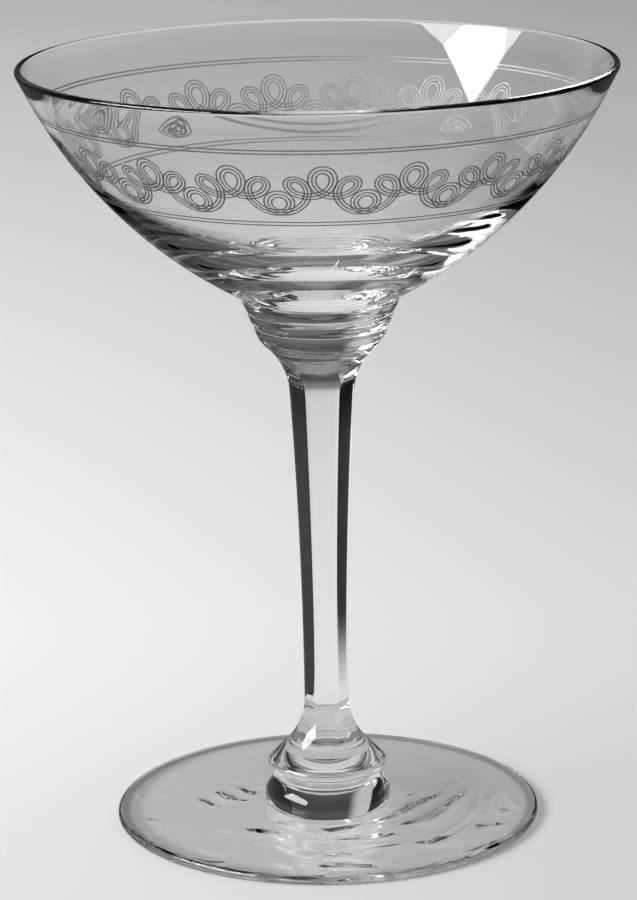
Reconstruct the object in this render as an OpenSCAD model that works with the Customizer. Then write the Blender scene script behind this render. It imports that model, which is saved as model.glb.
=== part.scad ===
// Sherbet glass: a wide shallow blown bowl on a pressed stem, carried by a round
// button on a spun foot. The four pieces are fused face to face while hot.
// Lengths are in millimetres, +Z is up, and the origin is at the middle of the foot
// on the surface that it stands on.

/* [Bowl] */
// Outer diameter over the rim
rim_d = 101.6; // [92:0.1:110]
// Height of the bowl, from its seat on the capital to the top of the lip
bowl_h = 40.1; // [36:0.1:45]
// Thickness of the wall, and diameter of the rounded lip
wall_t = 1.2; // [0.8:0.1:2]
// Radius of the round wall, at the middle of its thickness
wall_curve_r = 82; // [72:0.5:100]
// Length of the straight flare below the lip
lip_run = 4; // [2:0.5:8]
// Thickness of the glass at the bottom of the bowl
bowl_floor_t = 4.1; // [3:0.1:6]
// Diameter of the bowl's seat on the capital
bowl_seat_d = 26.6; // [24:0.1:30]

/* [Capital] */
// Number of stepped rings
ring_n = 3; // [2:1:4]
// Height of one ring
ring_h = 2.15; // [1.6:0.05:2.6]
// How much further down the lowest ring reaches
cap_foot_h = 1.15; // [0.5:0.05:1.5]
// How much narrower each ring is than the one above it, on the radius
ring_step = 1.05; // [0.8:0.05:1.3]
// Height of the groove between two rings
groove_h = 0.45; // [0.2:0.05:0.8]
// Depth of the groove, from the lower edge of the ring above it
groove_depth = 0.4; // [0.2:0.05:0.8]
// Radius of a ring's bulging side
ring_bulge_r = 6; // [5.8:0.1:9]
// Height of the middle of that bulge above the top of its ring
ring_bulge_lift = 1; // [0.5:0.1:1.5]
// Ledge of the top ring around the bowl's seat
cap_ledge = 0.3; // [0.1:0.05:0.5]
// Ledge of the lowest ring around the top of the flare under it
flare_ledge = 0.1; // [0.1:0.05:0.5]
// Radius of the hollow flare from the shaft out to the lowest ring
cap_flare_r = 12; // [10:0.5:15]

/* [Shaft] */
// Height of the stem, from the button to the bowl's seat
stem_h = 86.5; // [70:0.1:100]
// Diameter over the soft edges at the waist, the thinnest place
waist_d = 7.76; // [7.3:0.02:8.4]
// Distance across two opposite facets at the waist
waist_flats = 6.84; // [6.5:0.02:7.1]
// Radius of the long taper along the soft edges
taper_r = 900; // [750:10:1200]
// Radius of the long taper along the facets
facet_taper_r = 1020; // [900:10:1300]
// Number of facets
facet_n = 6; // [6:1:8]
// Radius of a facet's run-out below the capital
facet_flare_r = 9; // [7:0.5:11]
// Distance from the lowest ring down to the upper ends of the facets
facet_top_drop = 2.25; // [1.6:0.05:3.2]
// Height of the facets' lower ends above the bell's widest line
facet_foot_rise = 5.19; // [4.4:0.01:6]

/* [Bell] */
// Diameter of the bell at its widest line
bell_d = 20.84; // [19.6:0.02:22]
// Radius of the bell's rounded edge
bell_edge_r = 1.2; // [0.9:0.05:1.5]
// Height of the bell's widest line above the neck
bell_lift = 1.76; // [1.5:0.02:2.1]
// Fall of the bell's straight cone, in degrees from level
bell_slope = 45; // [42:1:48]
// Height from the bell's widest line to the waist of the stem
bell_rise = 11.79; // [11:0.01:13]
// Height of the neck between the bell and the button
neck_h = 0.85; // [0.5:0.05:1.5]
// How far the neck stands in from the edge of the button's top
neck_setback = 1.2; // [0.6:0.1:2]

/* [Button] */
// Diameter of the button at its widest line
button_d = 22.2; // [20:0.1:24]
// Height of the button
button_h = 4.7; // [4.2:0.1:5.1]
// Radius of the button's bulging side
button_bulge_r = 4; // [3.7:0.1:6]
// Height of the button's widest line above the foot
button_bulge_z = 1.2; // [0.8:0.1:1.8]

/* [Foot] */
// Diameter of the foot
foot_d = 74; // [64:0.5:84]
// Thickness of the foot's rounded edge
foot_edge_t = 1.6; // [1.2:0.1:1.8]
// Height of the pad that the button sits on
foot_h = 1.9; // [1.7:0.1:2.6]
// Width of the pad's rim around the button's seat
pad_rim = 1; // [0.5:0.1:2]
// Diameter of the shallow hollow under the foot
hollow_d = 60; // [50:0.5:62]
// Depth of that hollow in the middle
hollow_h = 0.7; // [0.3:0.1:1]
// Radius of that hollow's rounded middle
hollow_crown_r = 200; // [150:10:300]

/* [Hidden] */

// Fine steps for ordinary rounds, and finer ones for the very flat curves
$fn = 128;
flat_fn = 2400;
clear_glass = [0.86, 0.92, 0.94, 0.45];

// Where one arc runs into the next they lap by a hair, so that they cross in a clean
// edge: more on the long flat tapers than on the tighter rounds
taper_lap = 0.02;
round_lap = 0.002;

// Where two circles cross, to the left (1) or right (-1) of the line from a to b
function crossing(a, ra, b, rb, side) =
    let (
        d = norm(b - a),
        u = (b - a) / d,
        along = (d * d + ra * ra - rb * rb) / (2 * d),
        across = side * sqrt(ra * ra - along * along)
    )
    a + u * along + [-u[1], u[0]] * across;

// The point of a circle about c, of radius r, that lies straight towards p
function towards(c, r, p) = c + (p - c) * r / norm(p - c);

// Direction from c to the point where a line from p touches the circle about c
function touch_a(p, c, r) = atan2(p[1] - c[1], p[0] - c[0]) + acos(r / norm(p - c));

// Radius of a flat circle on the axis that is r wide where it has fallen by drop
function cap_radius(r, drop) = (r * r + drop * drop) / (2 * drop);

// Levels at which the pieces are fused to each other
button_z = foot_h;
stem_z = button_z + button_h;
bowl_z = stem_z + stem_h;

// Button: radius of its bulging side at a height above the foot
button_bulge_c = [button_d / 2 - button_bulge_r, button_bulge_z];
function button_side(z) = button_bulge_c[0] + sqrt(button_bulge_r^2 - (z - button_bulge_z)^2);

// Foot: its top falls in a flat cone from the pad to the rounded edge, and the hollow
// under it is another, with a rounded middle
foot_edge_r = foot_edge_t / 2;
foot_edge_c = foot_d / 2 - foot_edge_r;
pad_r = button_side(0) + pad_rim;
hollow_c = [0, hollow_h - hollow_crown_r];
hollow_a = touch_a([hollow_d / 2, 0], hollow_c, hollow_crown_r);
hollow_touch = hollow_c + (hollow_crown_r - taper_lap) * [cos(hollow_a), sin(hollow_a)];

// Capital: each ring's side is an arc about a point above its top edge
cap_r = bowl_seat_d / 2 + cap_ledge;
ring_pitch = ring_h + groove_h;
cap_base_z = stem_h + groove_h - ring_n * ring_pitch - cap_foot_h;
ring_top_in = sqrt(ring_bulge_r^2 - ring_bulge_lift^2);
function ring_r(i) = cap_r - i * ring_step;
function ring_fall(i) = i < ring_n - 1 ? ring_h : ring_h + cap_foot_h;
function ring_base_in(i) = sqrt(ring_bulge_r^2 - (ring_bulge_lift + ring_fall(i))^2);
function ring_base_r(i) = ring_r(i) - ring_top_in + ring_base_in(i);

// Bell and waist: a straight cone runs from the bell's edge up into the arc that
// sweeps to the waist, and an undercut runs from that edge down to the neck
waist_r = waist_d / 2;
neck_r = button_side(button_h) - neck_setback;
neck_top = [neck_r, neck_h];
bell_c = [bell_d / 2 - bell_edge_r, neck_h + bell_lift];
waist_z = bell_c[1] + bell_rise;
cone_out = [sin(bell_slope), cos(bell_slope)];
cone_up = [-cone_out[1], cone_out[0]];
cone_reach = bell_c * cone_out + bell_edge_r;
bell_flare_r = ([waist_r, waist_z] * cone_out - cone_reach) / (1 - cone_out[0]);
bell_flare_c = [waist_r + bell_flare_r, waist_z];
cone_top = bell_flare_c - bell_flare_r * cone_out;
cone_end = cone_top + round_lap * cone_out + cone_up;
under_a = touch_a(neck_top, bell_c, bell_edge_r);

// Soft edges of the shaft: a long taper, then the flare out to the lowest ring
taper_c = [waist_r + taper_lap + taper_r, waist_z];
flare_top = [ring_base_r(ring_n - 1) - flare_ledge, cap_base_z];
cap_flare_c = crossing(flare_top, cap_flare_r, taper_c, taper_r - cap_flare_r + taper_lap, -1);

// Facets: their run-outs start on the bell's arc and end on the capital's flare
facet_in = waist_flats / 2;
facet_taper_c = [facet_in + taper_lap + facet_taper_r, waist_z];
facet_foot_h = bell_rise - facet_foot_rise;
facet_foot_x = bell_flare_c[0] - sqrt(bell_flare_r^2 - facet_foot_h^2);
facet_foot_r = cap_radius(facet_foot_h, facet_foot_x - facet_in);
facet_top_z = cap_base_z - facet_top_drop;
facet_top_x = cap_flare_c[0] - sqrt(cap_flare_r^2 - (facet_top_z - cap_flare_c[1])^2);
facet_flare_c = crossing([facet_top_x, facet_top_z], facet_flare_r,
                         facet_taper_c, facet_taper_r - facet_flare_r + taper_lap, -1);

// Bowl: the round wall runs from the seat to the straight flare, and the floor's arc
// runs into its inside, so that the wall thins from the floor up
lip_r = wall_t / 2 + round_lap;
lip_c = [rim_d / 2 - lip_r, bowl_h - lip_r];
lip_reach = wall_curve_r - round_lap;
bowl_seat = [bowl_seat_d / 2, 0];
outer_r = wall_curve_r + wall_t / 2;
inner_r = wall_curve_r - wall_t / 2;
wall_c = crossing(bowl_seat, outer_r, lip_c, norm([lip_reach, lip_run]), 1);
flare_a = atan2(lip_c[1] - wall_c[1], lip_c[0] - wall_c[0]) - atan2(lip_run, lip_reach);
floor_depth = wall_c[1] - bowl_floor_t;
floor_reach = inner_r + round_lap;
floor_r = (floor_reach^2 - wall_c[0]^2 - floor_depth^2) / (2 * (floor_reach - floor_depth));
floor_c = [0, bowl_floor_t + floor_r];
floor_end_z = towards(wall_c, inner_r, floor_c)[1];

// Space that one waisted sweep of the stem leaves outside itself: an arc up to the
// waist, the long taper above it, and the flare that the taper runs into
module sweep_space(inset, foot_r, long_c, long_r, flare_c, flare_r) {
    join_z = towards(long_c, long_r, flare_c)[1];
    translate([inset + foot_r, waist_z]) circle(r = foot_r);
    intersection() {
        translate(long_c) circle(r = long_r, $fn = flat_fn);
        translate([0, waist_z]) square([2 * cap_r, join_z - waist_z]);
    }
    translate(flare_c) circle(r = flare_r);
}

// One stepped ring and the core that carries it down to the next one
module ring_section(i) {
    top_z = stem_h - i * ring_pitch;
    core_h = max(ring_fall(i), ring_pitch);
    intersection() {
        translate([ring_r(i) - ring_top_in, top_z + ring_bulge_lift]) circle(r = ring_bulge_r);
        translate([0, top_z - ring_fall(i)]) square([cap_r, ring_fall(i)]);
    }
    translate([0, top_z - core_h]) square([ring_base_r(i) - groove_depth, core_h]);
}

// Neck, undercut and cone of the bell, with the round edge between the last two
module bell_section() {
    lap_r = bell_edge_r - round_lap;
    translate(bell_c) circle(r = bell_edge_r);
    polygon([
        [0, 0],
        [neck_r, 0],
        neck_top,
        bell_c + lap_r * [cos(under_a), sin(under_a)],
        bell_c + lap_r * cone_out,
        cone_end,
        [0, cone_end[1]]
    ]);
}

// Turned outline of the stem, around a core that runs from the neck to the capital
module stem_section() {
    square([waist_r, stem_h]);
    bell_section();
    for (i = [0 : ring_n - 1]) ring_section(i);
    difference() {
        translate([0, cone_top[1]]) square([cap_r, cap_base_z - cone_top[1]]);
        sweep_space(waist_r, bell_flare_r, taper_c, taper_r, cap_flare_c, cap_flare_r);
    }
}

// The wall's circle and the straight flare above it, out to reach and up to run
module wall_space(reach, run) {
    translate(wall_c) {
        circle(r = reach, $fn = flat_fn);
        rotate(flare_a) square([reach - round_lap, run]);
    }
}

// Blown bowl with a rounded lip and a floor that thickens over its seat
module bowl_section() {
    translate(lip_c) circle(r = lip_r);
    difference() {
        intersection() {
            wall_space(outer_r, lip_run);
            translate(wall_c) rotate(flare_a) translate([0, lip_run - 2 * outer_r]) square(2 * outer_r);
            square([rim_d, bowl_h]);
        }
        intersection() {
            wall_space(inner_r, rim_d);
            translate([0, floor_end_z]) square(rim_d);
        }
        translate(floor_c) circle(r = floor_r, $fn = flat_fn);
    }
}

module foot_section() {
    difference() {
        union() {
            polygon([
                [0, 0],
                [foot_edge_c, 0],
                [foot_edge_c, foot_edge_t - round_lap],
                [pad_r, foot_h],
                [0, foot_h]
            ]);
            translate([foot_edge_c, foot_edge_r]) circle(r = foot_edge_r);
        }
        translate(hollow_c) circle(r = hollow_crown_r, $fn = flat_fn);
        polygon([[0, 0], [hollow_d / 2, 0], hollow_touch, [0, hollow_touch[1]]]);
    }
}

module foot() {
    color(clear_glass) rotate_extrude() foot_section();
}

module button() {
    color(clear_glass) translate([0, 0, button_z]) rotate_extrude() {
        square([button_bulge_c[0], button_h]);
        intersection() {
            translate(button_bulge_c) circle(r = button_bulge_r);
            square([button_d, button_h]);
        }
    }
}

// Pressed stem: a turned outline with its facets sunk into it all round
module stem() {
    color(clear_glass) translate([0, 0, stem_z]) difference() {
        rotate_extrude() stem_section();
        for (k = [0 : facet_n - 1]) {
            rotate(90 + k * 360 / facet_n) rotate([90, 0, 0])
                linear_extrude(height = 2 * cap_r, center = true)
                    sweep_space(facet_in, facet_foot_r, facet_taper_c, facet_taper_r,
                                facet_flare_c, facet_flare_r);
        }
    }
}

module bowl() {
    color(clear_glass) translate([0, 0, bowl_z]) rotate_extrude() bowl_section();
}

foot();
button();
stem();
bowl();
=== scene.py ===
# %% [markdown]
# # A stemmed sherbet glass
# The glass is four gathers of clear glass that were fused while hot: a spun foot, a round
# button, a pressed stem and a blown bowl with a needle-etched band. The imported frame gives
# their sizes and places. This lesson turns each one into a smooth closed mesh, because a
# lens shows every flat spot, and then lights them the way glass likes to be lit: against a
# bright sheet, with dark sides and one wide window.

# %% Load the frame
import math

import bmesh
import bpy
import numpy as np
from mathutils import Matrix, Vector


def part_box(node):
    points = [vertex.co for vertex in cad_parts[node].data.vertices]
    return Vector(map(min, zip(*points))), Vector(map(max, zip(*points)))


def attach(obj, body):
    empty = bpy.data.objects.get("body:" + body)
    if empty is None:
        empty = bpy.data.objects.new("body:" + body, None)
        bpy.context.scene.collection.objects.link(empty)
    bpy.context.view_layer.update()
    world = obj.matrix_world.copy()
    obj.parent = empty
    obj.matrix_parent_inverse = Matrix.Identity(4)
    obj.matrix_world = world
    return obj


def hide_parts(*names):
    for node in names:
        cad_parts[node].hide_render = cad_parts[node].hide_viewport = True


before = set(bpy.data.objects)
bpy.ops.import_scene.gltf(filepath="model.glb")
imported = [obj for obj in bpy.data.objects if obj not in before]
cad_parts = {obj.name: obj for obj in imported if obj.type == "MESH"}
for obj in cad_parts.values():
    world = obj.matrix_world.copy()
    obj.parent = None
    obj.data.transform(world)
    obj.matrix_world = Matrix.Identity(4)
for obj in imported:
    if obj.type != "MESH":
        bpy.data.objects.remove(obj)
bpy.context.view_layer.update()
print("nodes", sorted(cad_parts))

# %% [markdown]
# ## Sizes
# Round pieces need only a radius and two levels each, and the frame holds those. Shapes are
# drawn in millimetres, as a glassmaker would, and turned into metres when a mesh is made.

# %% Read radii and levels from the frame
MM = 0.001


def span(node):
    """Outer radius, lowest level and highest level of a round node, in millimetres."""
    low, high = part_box(node)
    return high.x / MM, low.z / MM, high.z / MM


foot_r, floor_level, foot_top = span("foot")
button_r, button_low, button_top = span("button")
capital_r, stem_low, stem_top = span("stem")
rim_r, bowl_low, bowl_top = span("bowl")
print(f"rim {2 * rim_r:.1f} mm across, {bowl_top:.1f} mm tall, foot {2 * foot_r:.1f} mm across")

# %% [markdown]
# ## Outlines made of arcs
# Hot glass has no hard corners, and its outline is a chain of round stretches. An outline
# here is a list of runs, each an arc or a straight line. Where two runs meet at a corner,
# the corner is eased by a short curve, which is what the fire of the glory hole does.

# %% Arcs, lines and eased corners
EASE_STEPS = 6
EASE_LEAD = 1.5


def arc(centre, radius, start, end, steps):
    """Points on a circle from one angle to another, in degrees."""
    turn = np.radians(np.linspace(start, end, steps + 1))
    return np.stack([centre[0] + radius * np.cos(turn), centre[1] + radius * np.sin(turn)], 1)


def line(*points):
    """A straight run through the points."""
    return np.array(points, float)


def angle_to(centre, point):
    """Direction from a centre to a point, in degrees."""
    return math.degrees(math.atan2(point[1] - centre[1], point[0] - centre[0]))


def toward(turn):
    """Unit step in a direction, in degrees."""
    return np.array([math.cos(math.radians(turn)), math.sin(math.radians(turn))])


def touch_turn(point, centre, radius):
    """Direction from a circle's centre to where a line from a point touches it."""
    reach = math.dist(point, centre)
    return angle_to(centre, point) + math.degrees(math.acos(radius / reach))


def crossing(a, a_radius, b, b_radius, side):
    """Where two circles cross, to the left (1) or right (-1) of the line from a to b."""
    a, b = np.array(a, float), np.array(b, float)
    reach = np.linalg.norm(b - a)
    along = (reach**2 + a_radius**2 - b_radius**2) / (2 * reach)
    across = side * math.sqrt(a_radius**2 - along**2)
    ahead = (b - a) / reach
    return a + ahead * along + np.array([-ahead[1], ahead[0]]) * across


def trimmed(run, head, tail):
    """A run shortened at both ends, with a second point close to each new end."""
    steps = np.linalg.norm(np.diff(run, axis=0), axis=1)
    along = np.concatenate([[0], np.cumsum(steps)])
    ends = [head, head * EASE_LEAD, along[-1] - tail * EASE_LEAD, along[-1] - tail]
    inside = along[(along > ends[1]) & (along < ends[2])]
    places = np.unique(np.concatenate([ends, inside]))
    return np.stack([np.interp(places, along, run[:, k]) for k in (0, 1)], 1)


def eased(runs, ease):
    """Joins runs end to end and rounds each corner between them over a length of ease."""
    last = len(runs) - 1
    cut = [trimmed(r, ease * (i > 0), ease * (i < last)) for i, r in enumerate(runs)]
    outline = [cut[0]]
    t = np.linspace(0, 1, EASE_STEPS + 1)[1:-1, None]
    for before, after, corner in zip(cut, cut[1:], [r[-1] for r in runs]):
        bend = (1 - t) ** 2 * before[-1] + 2 * t * (1 - t) * corner + t**2 * after[0]
        outline += [bend, after]
    return np.concatenate(outline)


# %% [markdown]
# ## Turning an outline into a closed mesh
# A lathe turns an outline round the axis. The mesh starts and ends on the axis, so it is
# closed, which refraction needs. Where two pieces are fused there is no surface in real
# glass: those faces take a second, see-through material, so light passes from piece to
# piece as if they were one.

# %% The lathe
AROUND = 288
GLASS, FUSED = 0, 1
TINY = 1e-6


def lathe(name, outline, joints, radius_at=None):
    """Turns (radius, level) points into a closed mesh; joints are (level, radius) discs."""
    turn = np.linspace(0, 2 * math.pi, AROUND, endpoint=False)
    verts, rings = [], []
    for r, z in outline:
        start = len(verts)
        if r < TINY:
            verts.append((0.0, 0.0, z))
            rings.append([start] * AROUND)
            continue
        radii = np.full(AROUND, r) if radius_at is None else radius_at(r, z, turn)
        verts += [(a * math.cos(t), a * math.sin(t), z) for a, t in zip(radii, turn)]
        rings.append(list(range(start, start + AROUND)))
    faces, finish = [], []
    for (r0, z0), (r1, z1), low, high in zip(outline, outline[1:], rings, rings[1:]):
        fused = any(
            max(abs(z0 - z), abs(z1 - z)) < TINY and max(r0, r1) < r + TINY for z, r in joints
        )
        for k in range(AROUND):
            n = (k + 1) % AROUND
            corners = dict.fromkeys([low[k], low[n], high[n], high[k]])
            faces.append(list(corners))
            finish.append(FUSED if fused else GLASS)
    mesh = bpy.data.meshes.new(name)
    mesh.from_pydata([Vector(v) * MM for v in verts], [], faces)
    mesh.polygons.foreach_set("material_index", finish)
    mesh.shade_smooth()
    sharpen_seams(mesh)
    piece = bpy.data.objects.new(name, mesh)
    bpy.context.scene.collection.objects.link(piece)
    print(f"{name}: {len(mesh.vertices)} points, {len(mesh.polygons)} faces")
    return piece


def sharpen_seams(mesh):
    """Turns the faces outward and keeps shading from running round the edge of a joint."""
    work = bmesh.new()
    work.from_mesh(mesh)
    bmesh.ops.recalc_face_normals(work, faces=work.faces)
    for edge in work.edges:
        edge.smooth = len({f.material_index for f in edge.link_faces}) == 1
    work.to_mesh(mesh)
    work.free()


# %% [markdown]
# ## The foot
# A gather is dropped on the foot and spun with a paddle, which leaves a thin disc that is a
# little thicker in the middle, with a rounded edge and a slightly hollow underside. The
# button's side comes first, because the foot's pad is as wide as the button's seat.

# %% Turn the foot
button_bulge_r = 4
button_bulge_rise = 1.2
foot_edge_r = 0.8
pad_rim = 1
hollow_edge_r = 30
hollow_depth = 0.7
hollow_crown_r = 200
foot_ease = 0.05

bulge_c = (button_r - button_bulge_r, button_low + button_bulge_rise)


def button_side(level):
    """Radius of the button's bulging side at a level."""
    return bulge_c[0] + math.sqrt(button_bulge_r**2 - (level - bulge_c[1]) ** 2)


button_seat_r = button_side(button_low)
pad_r = button_seat_r + pad_rim
edge_c = (foot_r - foot_edge_r, foot_edge_r)
hollow_c = (0, hollow_depth - hollow_crown_r)
hollow_edge = (hollow_edge_r, floor_level)
hollow_turn = touch_turn(hollow_edge, hollow_c, hollow_crown_r)
foot_runs = [
    np.concatenate([arc(hollow_c, hollow_crown_r, 90, hollow_turn, steps=12), line(hollow_edge)]),
    line(hollow_edge, (edge_c[0], floor_level)),
    arc(edge_c, foot_edge_r, -90, 90, steps=16),
    line((edge_c[0], 2 * foot_edge_r), (pad_r, foot_top)),
    line((pad_r, foot_top), (button_seat_r, foot_top)),
]
foot_outline = np.concatenate([eased(foot_runs, foot_ease), line((0, foot_top))])
foot = lathe("foot_disc", foot_outline, [(foot_top, button_seat_r)])

# %% [markdown]
# ## The button
# A bit of glass dropped between foot and stem: a short barrel whose side bulges low down.

# %% Turn the button
neck_setback = 1.2
button_ease = 0.4

button_top_r = button_side(button_top)
neck_r = button_top_r - neck_setback
low_turn = angle_to(bulge_c, (button_seat_r, button_low))
high_turn = angle_to(bulge_c, (button_top_r, button_top))
button_runs = [
    arc(bulge_c, button_bulge_r, low_turn, high_turn, steps=40),
    line((button_top_r, button_top), (neck_r, button_top)),
]
button_outline = np.concatenate(
    [line((0, button_low)), eased(button_runs, button_ease), line((0, button_top))]
)
button = lathe(
    "stem_button", button_outline, [(button_low, button_seat_r), (button_top, neck_r)]
)

# %% [markdown]
# ## The stem
# The stem is pressed in one mould: a bell at the bottom, a long waisted shaft, and a capital
# of three stepped rings under the bowl. Its outline is a chain of arcs. The bell's straight
# cone touches its rounded edge and the sweep above it, and the long taper touches the flare
# of the capital.

# %% Draw the stem's turned outline
neck_h = 0.85
bell_r = 10.42
bell_edge_r = 1.2
bell_lift = 1.76
bell_slope = 45
bell_rise = 11.79
waist_r = 3.88
taper_r = 900
cap_flare_r = 12
cap_foot_h = 1.15
ring_count = 3
ring_h = 2.15
ring_step = 1.05
groove_h = 0.45
groove_depth = 0.4
ring_bulge_r = 6
ring_bulge_lift = 1
flare_ledge = 0.1
cap_ledge = 0.3
stem_ease = 0.07

bowl_seat_r = capital_r - cap_ledge
neck_top = (neck_r, stem_low + neck_h)
bell_c = np.array([bell_r - bell_edge_r, neck_top[1] + bell_lift])
waist = np.array([waist_r, bell_c[1] + bell_rise])
cone_out = toward(90 - bell_slope)
cone_gap = waist @ cone_out - bell_c @ cone_out - bell_edge_r
bell_sweep_r = cone_gap / (1 - cone_out[0])
bell_sweep_c = waist + [bell_sweep_r, 0]
ring_top_in = math.sqrt(ring_bulge_r**2 - ring_bulge_lift**2)
ring_pitch = ring_h + groove_h
capital_low = stem_top + groove_h - ring_count * ring_pitch - cap_foot_h
taper_c = waist + [taper_r, 0]


def ring_top_r(i):
    """Radius of a capital ring at its top, counted from the bowl down."""
    return capital_r - i * ring_step


def ring_fall(i):
    """Height of a capital ring; the lowest one reaches further down."""
    return ring_h + cap_foot_h * (i == ring_count - 1)


def ring_base_r(i):
    """Radius of a capital ring at its base."""
    base_in = math.sqrt(ring_bulge_r**2 - (ring_bulge_lift + ring_fall(i)) ** 2)
    return ring_top_r(i) - ring_top_in + base_in


def ring_runs(i):
    """Side of one ring, and the groove above it unless the bowl is there."""
    top = stem_top - i * ring_pitch
    centre = (ring_top_r(i) - ring_top_in, top + ring_bulge_lift)
    low = angle_to(centre, (ring_base_r(i), top - ring_fall(i)))
    high = angle_to(centre, (ring_top_r(i), top))
    side = arc(centre, ring_bulge_r, low, high, steps=12)
    if i == 0:
        return [side, line((capital_r, top), (bowl_seat_r, top))]
    core = ring_base_r(i - 1) - groove_depth
    above = top + groove_h
    return [
        side,
        line((ring_top_r(i), top), (core, top)),
        line((core, top), (core, above)),
        line((core, above), (ring_base_r(i - 1), above)),
    ]


lowest = ring_count - 1
flare_top = (ring_base_r(lowest) - flare_ledge, capital_low)
cap_flare_c = crossing(flare_top, cap_flare_r, taper_c, taper_r - cap_flare_r, -1)
taper_end = angle_to(taper_c, cap_flare_c) % 360
flare_end = angle_to(cap_flare_c, flare_top) % 360
under_turn = touch_turn(neck_top, bell_c, bell_edge_r)
bell_side = [
    line(neck_top),
    arc(bell_c, bell_edge_r, under_turn, 90 - bell_slope, steps=32),
    arc(bell_sweep_c, bell_sweep_r, 270 - bell_slope, 180, steps=48)[:-1],
]
shaft_side = [
    arc(taper_c, taper_r, 180, taper_end, steps=90)[:-1],
    arc(cap_flare_c, cap_flare_r, taper_end, flare_end, steps=48),
]
stem_runs = [
    line((neck_r, stem_low), neck_top),
    np.concatenate(bell_side + shaft_side),
    line(flare_top, (ring_base_r(lowest), capital_low)),
]
for i in reversed(range(ring_count)):
    stem_runs += ring_runs(i)
stem_outline = np.concatenate(
    [line((0, stem_low)), eased(stem_runs, stem_ease), line((0, stem_top))]
)
print(f"stem outline has {len(stem_outline)} points")

# %% [markdown]
# Six facets are pressed into the shaft. Each is a plane bent only along its height, so at
# any level the section is a circle cut by six chords. A soft minimum of the two radii
# leaves the slightly melted edges that pressed glass has.

# %% Press the facets and turn the stem
facet_count = 6
facet_in = 3.42
facet_taper_r = 1020
facet_flare_r = 9
facet_top_drop = 2.25
facet_foot_rise = 5.19
edge_melt = 0.26

facet_foot_h = bell_rise - facet_foot_rise
facet_foot_x = bell_sweep_c[0] - math.sqrt(bell_sweep_r**2 - facet_foot_h**2)
facet_foot_out = facet_foot_x - facet_in
facet_foot_r = (facet_foot_h**2 + facet_foot_out**2) / (2 * facet_foot_out)
facet_foot_c = (facet_in + facet_foot_r, waist[1])
facet_taper_c = (facet_in + facet_taper_r, waist[1])
facet_top_z = capital_low - facet_top_drop
facet_top_x = cap_flare_c[0] - math.sqrt(cap_flare_r**2 - (facet_top_z - cap_flare_c[1]) ** 2)
facet_flare_c = crossing(
    (facet_top_x, facet_top_z), facet_flare_r, facet_taper_c, facet_taper_r - facet_flare_r, -1
)
facet_join = toward(angle_to(facet_taper_c, facet_flare_c)) * facet_taper_r + facet_taper_c


def facet_distance(z):
    """How far a facet's bent plane lies from the axis at a level."""
    if z < waist[1]:
        centre, radius = facet_foot_c, facet_foot_r
    elif z < facet_join[1]:
        centre, radius = facet_taper_c, facet_taper_r
    else:
        centre, radius = facet_flare_c, facet_flare_r
    return centre[0] - math.sqrt(max(radius**2 - (z - centre[1]) ** 2, 0))


def faceted(r, z, turn):
    """Radii round the stem at one outline point, cut by the facets and softened."""
    distance = facet_distance(z)
    pitch = 2 * math.pi / facet_count
    off = (turn - math.pi / 2 + pitch / 2) % pitch - pitch / 2
    flat = distance / np.cos(off)
    blend = np.maximum(edge_melt - np.abs(flat - r), 0)
    return np.minimum(flat, r) - blend**2 / (4 * edge_melt)


stem = lathe("pressed_stem", stem_outline, [(stem_low, neck_r), (stem_top, bowl_seat_r)], faceted)

# %% [markdown]
# ## The bowl
# The bowl is blown, opened out wide, and its lip is melted round. Outside, one large arc runs
# from the seat up to a short straight flare; inside, the floor is a rounder arc, so the glass
# grows thicker towards the stem.

# %% Turn the bowl
wall_t = 1.2
wall_curve_r = 82
lip_run = 4
bowl_floor_t = 4.1

lip_r = wall_t / 2
outer_r = wall_curve_r + lip_r
inner_r = wall_curve_r - lip_r
lip_c = np.array([rim_r - lip_r, bowl_top - lip_r])
bowl_seat = (bowl_seat_r, bowl_low)
wall_c = crossing(bowl_seat, outer_r, lip_c, math.hypot(wall_curve_r, lip_run), 1)
flare = angle_to(wall_c, lip_c) - math.degrees(math.atan2(lip_run, wall_curve_r))
floor_depth = wall_c[1] - bowl_low - bowl_floor_t
floor_r = (inner_r**2 - wall_c[0] ** 2 - floor_depth**2) / (2 * (inner_r - floor_depth))
floor_c = (0, bowl_low + bowl_floor_t + floor_r)
floor_turn = angle_to(wall_c, floor_c)

bowl_outline = np.concatenate(
    [
        line((0, bowl_low)),
        arc(wall_c, outer_r, angle_to(wall_c, bowl_seat), flare, steps=80),
        arc(lip_c, lip_r, flare, flare + 180, steps=20),
        arc(wall_c, inner_r, flare, floor_turn, steps=40)[:-1],
        arc(floor_c, floor_r, floor_turn, -90, steps=60)[:-1],
        line((0, bowl_low + bowl_floor_t)),
    ]
)
bowl = lathe("blown_bowl", bowl_outline, [(bowl_low, bowl_seat_r)])

# %% [markdown]
# ## Ribbons on the wall
# Acid bites the etched lines into the outside of the bowl. A bump would blur such fine
# lines, so each one is a thin raised ribbon here, a hair outside the wall: a ribbon of real
# mesh keeps its edge at any distance.

# %% Lay ribbons on the outside of the bowl
line_w = 0.32
line_h = 0.02
line_crown = 0.7
skin_gap = 0.004
garland_level = 118.92


def wall_tilt(level):
    """Angle on the wall's circle of the point at a level, in degrees."""
    return math.degrees(math.asin((level - wall_c[1]) / outer_r))


band_tilt = wall_tilt(garland_level)


def on_wall(turn, climb):
    """Point and outward normal on the wall, at an angle and a distance up the curve."""
    tilt = np.radians(band_tilt) + climb / outer_r
    out, up = np.cos(tilt), np.sin(tilt)
    spread = np.stack([np.cos(turn), np.sin(turn)], -1)
    normal = np.concatenate([spread * out[..., None], up[..., None]], -1)
    base = np.concatenate([spread * wall_c[0], np.full_like(up, wall_c[1])[..., None]], -1)
    return base + normal * (outer_r + skin_gap), normal


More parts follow.
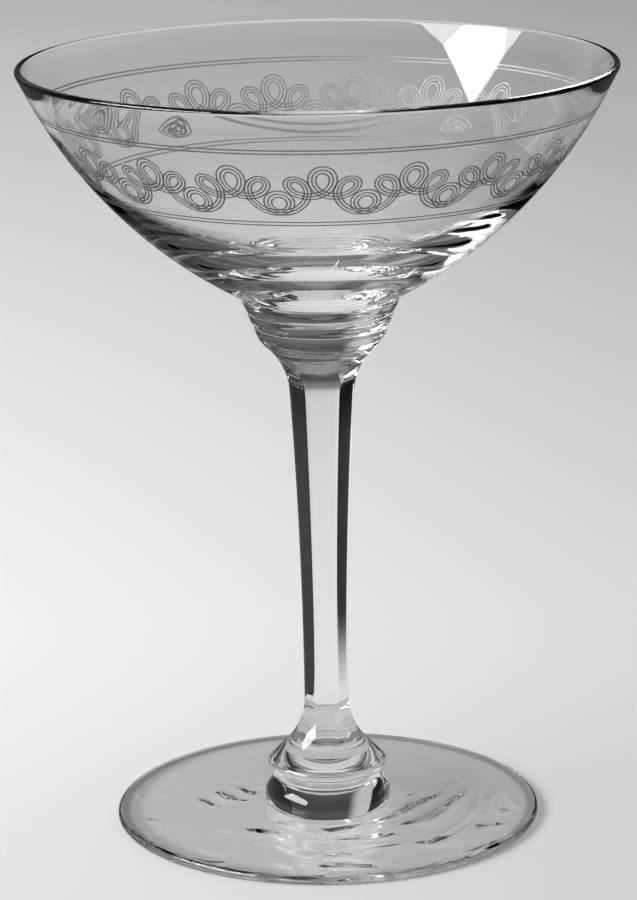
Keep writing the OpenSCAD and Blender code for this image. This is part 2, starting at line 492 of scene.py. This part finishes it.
def ribbons(name, lines):
    """Closed thin ribbons along closed lines of (angle, climb) points."""
    verts, faces = [], []
    for turn, climb in lines:
        place, normal = on_wall(turn, climb)
        ahead = np.roll(place, -1, 0) - np.roll(place, 1, 0)
        side = np.cross(normal, ahead)
        side *= line_w / 2 / np.linalg.norm(side, axis=1)[:, None]
        raised, crown = place + normal * line_h, side * line_crown
        section = np.stack([place - side, place + side, raised + crown, raised - crown], 1)
        first, count = len(verts), len(place)
        verts += (section.reshape(-1, 3) * MM).tolist()
        for k in range(count):
            here, there = first + 4 * k, first + 4 * ((k + 1) % count)
            faces += [
                (here + c, there + c, there + (c + 1) % 4, here + (c + 1) % 4) for c in range(4)
            ]
    mesh = bpy.data.meshes.new(name)
    mesh.from_pydata(verts, [], faces)
    sharpen_seams(mesh)
    piece = bpy.data.objects.new(name, mesh)
    bpy.context.scene.collection.objects.link(piece)
    print(f"{name}: {len(lines)} lines, {len(faces)} faces")
    return piece


# %% [markdown]
# ## The needle-etched band
# A machine scratches the pattern through wax with three needles at once. A turning carrier
# moves along a wave, so each needle draws a row of loops: four to a repeat, taller on the
# crest and in the dip than between them. Above and below run pairs of plain rings.

# %% Draw the rings and the garland
ring_levels = (112.75, 113.35, 125.9, 126.5)
ring_points = 360
repeats = 19
loops = 4
points_per_loop = 40
needle_radii = (1.9, 2.5, 3.1)
wide_gain = 0.05
stretch = 1.06
crest_gain = 0.014
double_gain = 0.108
wave_height = 2.585
wave_double = 0.57
wave_lean = 0.027
first_crest = -89.25

ring_turn = np.linspace(0, 2 * math.pi, ring_points, endpoint=False)
ring_climbs = [math.radians(wall_tilt(z) - band_tilt) * outer_r for z in ring_levels]
rings = ribbons("etched_rings", [(ring_turn, np.full(ring_points, c)) for c in ring_climbs])

garland_r = wall_c[0] + outer_r * math.cos(math.radians(band_tilt))
t = np.arange(repeats * loops * points_per_loop) / (loops * points_per_loop)
crest = np.cos(2 * math.pi * t)
double = np.cos(4 * math.pi * t)
spin = 2 * math.pi * loops * t
carried = 2 * math.pi / repeats * (t + wave_lean * np.sin(2 * math.pi * t))


def needle(radius):
    """The line that one needle draws: loops that lean back along a wave."""
    wide = radius * (1 + wide_gain * double)
    tall = radius * stretch * (1 + crest_gain * crest + double_gain * double)
    along = math.radians(first_crest) + carried - wide * np.sin(spin) / garland_r
    climb = wave_height * crest - wave_double * double + tall * np.cos(spin)
    return along, climb


garland = ribbons("etched_garland", [needle(r) for r in needle_radii])

# %% [markdown]
# ## Shader maths in Python
# A material is a small sum over the surface. This class wraps one socket, so that masks can
# be written as ordinary expressions, and one method adds any other node.


# %% A socket that does sums
class Wire:
    """A socket of a node tree that takes part in Python expressions."""

    def __init__(self, tree, socket=None):
        self.tree = tree
        self.socket = socket

    def node(self, kind, settings=None, inputs=None, output=0):
        """Adds a node, with settings first and then socket values or links."""
        made = self.tree.nodes.new(kind)
        for name, value in (settings or {}).items():
            setattr(made, name, value)
        for name, value in (inputs or {}).items():
            if isinstance(value, Wire):
                self.tree.links.new(value.socket, made.inputs[name])
            else:
                made.inputs[name].default_value = value
        return Wire(self.tree, made.outputs[output]) if made.outputs else None

    def math(self, operation, *values):
        """Adds a Math node on the values."""
        return self.node("ShaderNodeMath", {"operation": operation}, dict(enumerate(values)))

    def __add__(self, other):
        return self.math("ADD", self, other)

    def __sub__(self, other):
        return self.math("SUBTRACT", self, other)

    def __mul__(self, other):
        return self.math("MULTIPLY", self, other)

    def __rsub__(self, other):
        return self.math("SUBTRACT", other, self)

    __radd__ = __add__
    __rmul__ = __mul__

    def ramp(self, low, high, low_value=0.0, high_value=1.0):
        """Goes smoothly from one value to another as this one goes from low to high."""
        settings = {"interpolation_type": "SMOOTHSTEP"}
        places = {0: self, 1: low, 2: high, 3: low_value, 4: high_value}
        return self.node("ShaderNodeMapRange", settings, places)


def new_material(name):
    """An empty material, and a wire to start its sums from."""
    material = bpy.data.materials.new(name)
    material.use_nodes = True
    material.node_tree.nodes.clear()
    return material, Wire(material.node_tree)


def surface(wire, shader):
    """Connects a shader to the material's surface."""
    wire.node("ShaderNodeOutputMaterial", None, {"Surface": shader})


# %% [markdown]
# ## Small helpers for finishes
# A finish starts from a place on the surface, a cloudy noise or a grey, and many end with a
# blend of two shaders. Glass also needs to tell rays apart: one that it mirrored, or that
# went through it, may see the room another way than the camera does.


# %% Places, noise, greys, blends and kinds of rays
def parts(wire, vector):
    """The X, Y and Z of a vector, each as a wire."""
    return [wire.node("ShaderNodeSeparateXYZ", None, {0: vector}, axis) for axis in "XYZ"]


def from_axis(side, away):
    """Distance from the axis of the glass."""
    squared = side * side + away * away
    return squared.math("SQRT", squared)


def noise(wire, vector, scale, detail):
    """Cloudy noise over a surface."""
    inputs = {"Vector": vector, "Scale": scale, "Detail": detail}
    return wire.node("ShaderNodeTexNoise", None, inputs)


def grey(value):
    """A colour without hue."""
    return (value, value, value, 1.0)


def greyed(wire, tone):
    """A colour without hue whose value changes over the surface."""
    return wire.node("ShaderNodeCombineColor", None, {0: tone, 1: tone, 2: tone})


def blended(wire, factor, first, second):
    """Two shaders, the second one showing as much as the factor says."""
    return wire.node("ShaderNodeMixShader", None, {0: factor, 1: first, 2: second})


def glass_rays(wire):
    """Masks for rays that glass has turned: all of them, and the mirrored ones alone."""
    glossy = wire.node("ShaderNodeLightPath", output="Is Glossy Ray")
    through = wire.node("ShaderNodeLightPath", output="Is Transmission Ray")
    return glossy.math("MAXIMUM", glossy, through), glossy * (1 - through)


# %% [markdown]
# ## The marks of the tools
# Fire-polished glass is almost perfectly smooth. What tells handmade glass from a computer's
# is what the tools leave: a slow swirl everywhere, broken paddle marks in the front of the
# foot, and level wrinkles where the hot capital met a cold mould. They are far too shallow
# for the mesh, so they are heights for one Bump node, which tilts the shading. A pair of
# numbers here is where a mark starts to fade in and where it is full, in metres.

# %% Raise the swirl, the paddle marks and the wrinkles
SWIRL_SCALE = 60.0
SWIRL_HEIGHT = 0.000036
FOOT_BELOW = (0.0025, 0.0021)
PADDLE_BEYOND = (0.0125, 0.0145)
PADDLE_WITHIN = (0.0355, 0.033)
PADDLE_IN_FRONT = (0.01, 0.0)
PADDLE_BREAKS = (0.45, 0.62)
PADDLE_START = 0.0135
PADDLE_RATE = 898.0
PADDLE_HEIGHT = 0.00025
FAN_CENTRE = 0.005
FAN_REACH = 0.032
FAN_BEND = 42.0
FAN_WANDER = 0.002
CHILL_STRETCH = (70.0, 70.0, 800.0)
CHILL_ABOVE = (0.079, 0.083)
CHILL_UNDER = (0.094, 0.0925)
CHILL_HEIGHT = 0.00024


def tool_marks(start, where):
    """The normal of the surface with its swirl, paddle marks and wrinkles."""
    side, away, up = parts(start, where)
    swirl = noise(start, where, SWIRL_SCALE, 1.0)
    out = side.math("ABSOLUTE", side)
    fan = out - (away + FAN_CENTRE) * (FAN_REACH - out) * FAN_BEND + (swirl - 0.5) * FAN_WANDER
    turn = (fan - PADDLE_START) * PADDLE_RATE
    reach = from_axis(side, away)
    on_foot = up.ramp(*FOOT_BELOW) * reach.ramp(*PADDLE_BEYOND) * reach.ramp(*PADDLE_WITHIN)
    broken = away.ramp(*PADDLE_IN_FRONT) * swirl.ramp(*PADDLE_BREAKS)
    paddle = turn.math("COSINE", turn) * on_foot * broken
    stretch_by = {0: where, 1: CHILL_STRETCH}
    stretched = start.node("ShaderNodeVectorMath", {"operation": "MULTIPLY"}, stretch_by)
    wrinkle = noise(start, stretched, 1.0, 1.0) * up.ramp(*CHILL_ABOVE) * up.ramp(*CHILL_UNDER)
    relief = swirl * SWIRL_HEIGHT + paddle * PADDLE_HEIGHT + wrinkle * CHILL_HEIGHT
    inputs = {"Height": relief, "Strength": 1.0, "Distance": 1.0}
    return start.node("ShaderNodeBump", None, inputs, "Normal")


# %% [markdown]
# ## Clear glass
# The glass bends light by its index of refraction, with a trace of bloom in the roughness.
# The thin bowl is a little greyer than the thick stem. A path tracer finds hardly any light
# behind a lens, so shadow rays and the light that the table throws back meet a plain pane
# in its place: clear where it faces them, and dark where it is seen on edge and along the
# edge of the foot, which is how real glass shades a table.

# %% Make the glass
GLASS_IOR = 1.52
BLOOM_SCALE = 260.0
BLOOM_PATCHES = (0.45, 0.8)
BLOOM_ROUGHNESS = 0.03
BOWL_ABOVE = (0.1, 0.115)
STEM_TINT = 0.985
BOWL_TINT = 0.89
PANE_CLEAR = 0.97
PANE_DARK = 0.05
ON_EDGE = (0.5, 0.9)
FOOT_EDGE = (0.0345, 0.0355)
FOOT_EDGE_SHADE = 0.4


def shading_pane(start, where):
    """What shadow and diffuse rays meet in place of the glass."""
    side, away, up = parts(start, where)
    facing = start.node("ShaderNodeLayerWeight", None, {"Blend": 0.5}, "Facing")
    on_edge = facing.ramp(*ON_EDGE)
    foot_edge = up.ramp(*FOOT_BELOW) * from_axis(side, away).ramp(*FOOT_EDGE)
    blocked = on_edge.math("MAXIMUM", on_edge, foot_edge * FOOT_EDGE_SHADE)
    clear = start.node("ShaderNodeBsdfTransparent", None, {"Color": grey(PANE_CLEAR)})
    dark = start.node("ShaderNodeBsdfTransparent", None, {"Color": grey(PANE_DARK)})
    return blended(start, blocked, clear, dark)


def clear_glass():
    """Handmade clear glass."""
    material, start = new_material("clear_glass")
    where = start.node("ShaderNodeTexCoord", output="Object")
    up = start.node("ShaderNodeSeparateXYZ", None, {0: where}, "Z")
    bloom = noise(start, where, BLOOM_SCALE, 3.0)
    glass = start.node(
        "ShaderNodeBsdfPrincipled",
        None,
        {
            "Base Color": greyed(start, up.ramp(*BOWL_ABOVE, STEM_TINT, BOWL_TINT)),
            "Roughness": bloom.ramp(*BLOOM_PATCHES, 0.0, BLOOM_ROUGHNESS),
            "IOR": GLASS_IOR,
            "Transmission Weight": 1.0,
            "Normal": tool_marks(start, where),
        },
    )
    shadow = start.node("ShaderNodeLightPath", output="Is Shadow Ray")
    spread = start.node("ShaderNodeLightPath", output="Is Diffuse Ray")
    passing = shadow.math("MAXIMUM", shadow, spread)
    surface(start, blended(start, passing, glass, shading_pane(start, where)))
    return material


# %% [markdown]
# ## Joints and etched lines
# A fused joint shows nothing, so its faces have no opacity. Acid leaves a line frosted: it
# lets light through, greyed and scattered, and its grain is uneven from place to place.

# %% Make the joint and the etched line
ETCH_GRAIN = 2500.0
ETCH_PATCHES = (0.3, 0.7)
ETCH_SMOOTH = 0.45
ETCH_ROUGH = 0.7
ETCH_TONE = 0.6


def fused_joint():
    """Faces where two pieces have melted into one."""
    material, start = new_material("fused_joint")
    surface(start, start.node("ShaderNodeBsdfPrincipled", None, {"Alpha": 0.0}))
    return material


def etched_line():
    """Frosted glass at the bottom of an acid-bitten line."""
    material, start = new_material("etched_line")
    where = start.node("ShaderNodeTexCoord", output="Object")
    bite = noise(start, where, ETCH_GRAIN, 2.0)
    frost = start.node(
        "ShaderNodeBsdfPrincipled",
        None,
        {
            "Base Color": grey(ETCH_TONE),
            "Roughness": bite.ramp(*ETCH_PATCHES, ETCH_SMOOTH, ETCH_ROUGH),
            "IOR": GLASS_IOR,
            "Transmission Weight": 1.0,
        },
    )
    surface(start, frost)
    return material


# %% [markdown]
# ## Finish and mount the pieces
# Each turned piece stands for its CAD node and takes two finishes: glass, and see-through
# for its joints. The etched lines stay out of mirror images, where their raised edges would
# show twice. Everything rides on the one body that the glass has.

# %% Give the pieces their finishes and their body
glass_finish, joint_finish, etch_finish = clear_glass(), fused_joint(), etched_line()
for piece, node in ((foot, "foot"), (button, "button"), (stem, "stem"), (bowl, "bowl")):
    piece.data.materials.append(glass_finish)
    piece.data.materials.append(joint_finish)
    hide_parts(node)
for piece in (rings, garland):
    piece.data.materials.append(etch_finish)
    piece.visible_glossy = False
for piece in (foot, button, stem, bowl, rings, garland):
    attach(piece, "root")
    print(piece.name, "wears", [m.name for m in piece.data.materials])

# %% [markdown]
# ## The table
# Glass has no colour of its own and shows what is around it, so the set is half of its
# finish. The table is a sheet of pale paper with painted light on it: lighter to the left,
# towards the window, and lighter towards the back. In mirror images alone the paper is dark.
# The facets at the sides would be washed out otherwise, since they mirror the table as much
# as they show what is behind them.

# %% Lay the floor
FLOOR_GAP = 0.02 * MM
FLOOR_HALF = 3.0
FLOOR_CORNERS = ((-1, -1), (1, -1), (1, 1), (-1, 1))
PAPER_PAINTED_LIGHT_ACROSS = (-0.15, 0.15, 0.91, 0.74)
PAPER_PAINTED_LIGHT_AWAY = (-0.06, 0.13, 0.82, 1.0)
PAPER_MIRRORED = 0.12

floor_mesh = bpy.data.meshes.new("floor")
floor_mesh.from_pydata(
    [(x * FLOOR_HALF, y * FLOOR_HALF, -FLOOR_GAP) for x, y in FLOOR_CORNERS],
    [],
    [(0, 1, 2, 3)],
)
floor = bpy.data.objects.new("floor", floor_mesh)
bpy.context.scene.collection.objects.link(floor)

paper, start = new_material("paper")
spot = start.node("ShaderNodeTexCoord", output="Object")
across, away, _ = parts(start, spot)
# Painted light: the paper's grey is lighter to the left, towards the window, and towards the
# back.
tone = across.ramp(*PAPER_PAINTED_LIGHT_ACROSS) * away.ramp(*PAPER_PAINTED_LIGHT_AWAY)
plain = start.node("ShaderNodeBsdfDiffuse", None, {"Color": greyed(start, tone)})
mirrored = start.node("ShaderNodeBsdfDiffuse", None, {"Color": grey(PAPER_MIRRORED)})
_, mirror = glass_rays(start)
surface(start, blended(start, mirror, plain, mirrored))
floor_mesh.materials.append(paper)
print(f"floor: {2 * FLOOR_HALF:.0f} m of pale paper")

# %% [markdown]
# ## The window
# One wide window at the left is the only lamp. Its mirror image is the white patch in the
# far wall of the bowl, and its size and place were worked out from that patch.

# %% Hang the window
WINDOW_WIDTH = 1.25
WINDOW_HEIGHT = 0.65
WINDOW_POWER = 33.5
WINDOW_PLACE = (-1.0, -0.53, 0.75)

lamp = bpy.data.lights.new("window", "AREA")
lamp.shape = "RECTANGLE"
lamp.size = WINDOW_WIDTH
lamp.size_y = WINDOW_HEIGHT
lamp.energy = WINDOW_POWER
window = bpy.data.objects.new("window", lamp)
window.location = WINDOW_PLACE
window.rotation_euler = Vector((1, 0, 0)).to_track_quat("-Z", "Y").to_euler()
bpy.context.scene.collection.objects.link(window)
window.visible_camera = False
print(f"window: {WINDOW_WIDTH} m wide, {WINDOW_POWER} W")

# %% [markdown]
# ## Dark cards
# A photographer of glass stands black cards just outside the picture, and their images draw
# the dark lines that give clear glass its shape. The cards here are seen by the glass alone
# and cast no shadow. They lean in at the bottom, since the foot of the stem looks at the
# table close by, and they fade out softly.

# %% Stand the dark cards
CARD_OFF = 0.064
CARD_LEAN = 0.62
CARD_TONE = 0.003


def card(name, off, near, far, height, rise, soft):
    """A dark card off to a side that fades in over a rise and out over its soft far end."""
    mesh = bpy.data.meshes.new(name)
    low = off * CARD_LEAN
    mesh.from_pydata(
        [(low, near, 0.0), (low, far, 0.0), (off, far, height), (off, near, height)],
        [],
        [(0, 1, 2, 3)],
    )
    finish, start = new_material(name)
    spot = start.node("ShaderNodeTexCoord", output="Object")
    _, away, up = parts(start, spot)
    solid = up.ramp(*rise) * away.ramp(far, far - soft)
    black = start.node("ShaderNodeBsdfDiffuse", None, {"Color": grey(CARD_TONE)})
    clear = start.node("ShaderNodeBsdfTransparent")
    surface(start, blended(start, solid, clear, black))
    mesh.materials.append(finish)
    sheet = bpy.data.objects.new(name, mesh)
    bpy.context.scene.collection.objects.link(sheet)
    sheet.visible_camera = False
    sheet.visible_diffuse = False
    sheet.visible_shadow = False
    print(f"{name}: {far - near:.3f} m long, {height:.2f} m tall")


card("right_flag", CARD_OFF, near=-0.03, far=0.135, height=0.09, rise=(-0.002, -0.001), soft=0.02)
card("left_flag", -CARD_OFF, near=0.042, far=0.1, height=0.1, rise=(-0.001, 0.018), soft=0.01)

# %% [markdown]
# ## The room
# The room is an even grey to the table. To the glass it is darker and has parts: a backdrop
# behind, a wall at the left, the front, a ceiling, and a bright patch high behind on the
# left. Mirror images of it are dimmer still, so that the glass stays clear.

# %% Light the room
ROOM_GREY = 0.42
ROOM_DARK = 0.05
BACKDROP = 0.24
LEFT_WALL = 0.35
FRONT = 0.2
CEILING = 0.25
PATCH = 0.6
PATCH_TOWARD = (-0.46, 0.8, 0.375)
PATCH_EDGE = (0.95, 0.985)
MIRROR_LOSS = 0.6

world = bpy.data.worlds.new("room")
world.use_nodes = True
world.node_tree.nodes.clear()
sky = Wire(world.node_tree)
outward = sky.node("ShaderNodeTexCoord", output="Generated")
across, behind, up = parts(sky, outward)
aim = {0: outward, 1: PATCH_TOWARD}
near_patch = sky.node("ShaderNodeVectorMath", {"operation": "DOT_PRODUCT"}, aim, "Value")
backdrop = behind.ramp(0.4, 0.9) * up.ramp(0.35, -0.05)
left_wall = across.ramp(-0.45, -0.8) * up.ramp(0.5, 0.1)
front = behind.ramp(-0.2, -0.8)
ceiling = up.ramp(0.55, 0.9)
patch = near_patch.ramp(*PATCH_EDGE)
seen = backdrop * BACKDROP + left_wall * LEFT_WALL + front * FRONT + ceiling * CEILING
seen = seen + patch * PATCH + ROOM_DARK
by_glass, mirror = glass_rays(sky)
strength = by_glass * seen * (1 - mirror * MIRROR_LOSS) + (1 - by_glass) * ROOM_GREY
room = sky.node("ShaderNodeBackground", None, {"Strength": strength})
sky.node("ShaderNodeOutputWorld", None, {"Surface": room})
bpy.context.scene.world = world
print(f"room: {len(world.node_tree.nodes)} nodes")

# %% [markdown]
# ## Room for light inside the glass
# Light in thick glass is mirrored many times before it finds a way out. Blender follows it
# for four mirrorings and then gives up, which leaves black patches. With a higher limit the
# streaks in the floor of the bowl and in the bell come out by themselves.

# %% Let light bounce longer
LIGHT_BOUNCES = 24

paths = bpy.context.scene.cycles
paths.max_bounces = LIGHT_BOUNCES
paths.glossy_bounces = LIGHT_BOUNCES
paths.transmission_bounces = LIGHT_BOUNCES
print(f"light bounces up to {LIGHT_BOUNCES} times")

# %% [markdown]
# ## The camera
# The camera's place was solved from the ellipses of the rim and the foot: a long lens at
# short distance, looking down at the glass, and leaning a little.

# %% Set the camera
CAMERA_BACK = 0.619265
CAMERA_UP = 0.2290551
CAMERA_PITCH = 0.2579
CAMERA_ROLL = -0.0151
CAMERA_YAW = -0.0012
LENS = 148.53
SENSOR = 36.0

ahead = Vector(
    (
        math.sin(CAMERA_YAW) * math.cos(CAMERA_PITCH),
        math.cos(CAMERA_YAW) * math.cos(CAMERA_PITCH),
        -math.sin(CAMERA_PITCH),
    )
)
level = Vector((math.cos(CAMERA_YAW), -math.sin(CAMERA_YAW), 0))
upright = level.cross(ahead)
rightward = math.cos(CAMERA_ROLL) * level + math.sin(CAMERA_ROLL) * upright
above = -math.sin(CAMERA_ROLL) * level + math.cos(CAMERA_ROLL) * upright
view = bpy.data.cameras.new("camera")
view.lens = LENS
view.sensor_width = SENSOR
camera = bpy.data.objects.new("camera", view)
camera.matrix_world = Matrix.Translation((0, -CAMERA_BACK, CAMERA_UP)) @ Matrix(
    (rightward, above, -ahead)
).transposed().to_4x4()
bpy.context.scene.collection.objects.link(camera)
bpy.context.scene.camera = camera
bpy.context.scene.view_settings.view_transform = "Standard"
print("camera at", [round(c, 3) for c in camera.location])
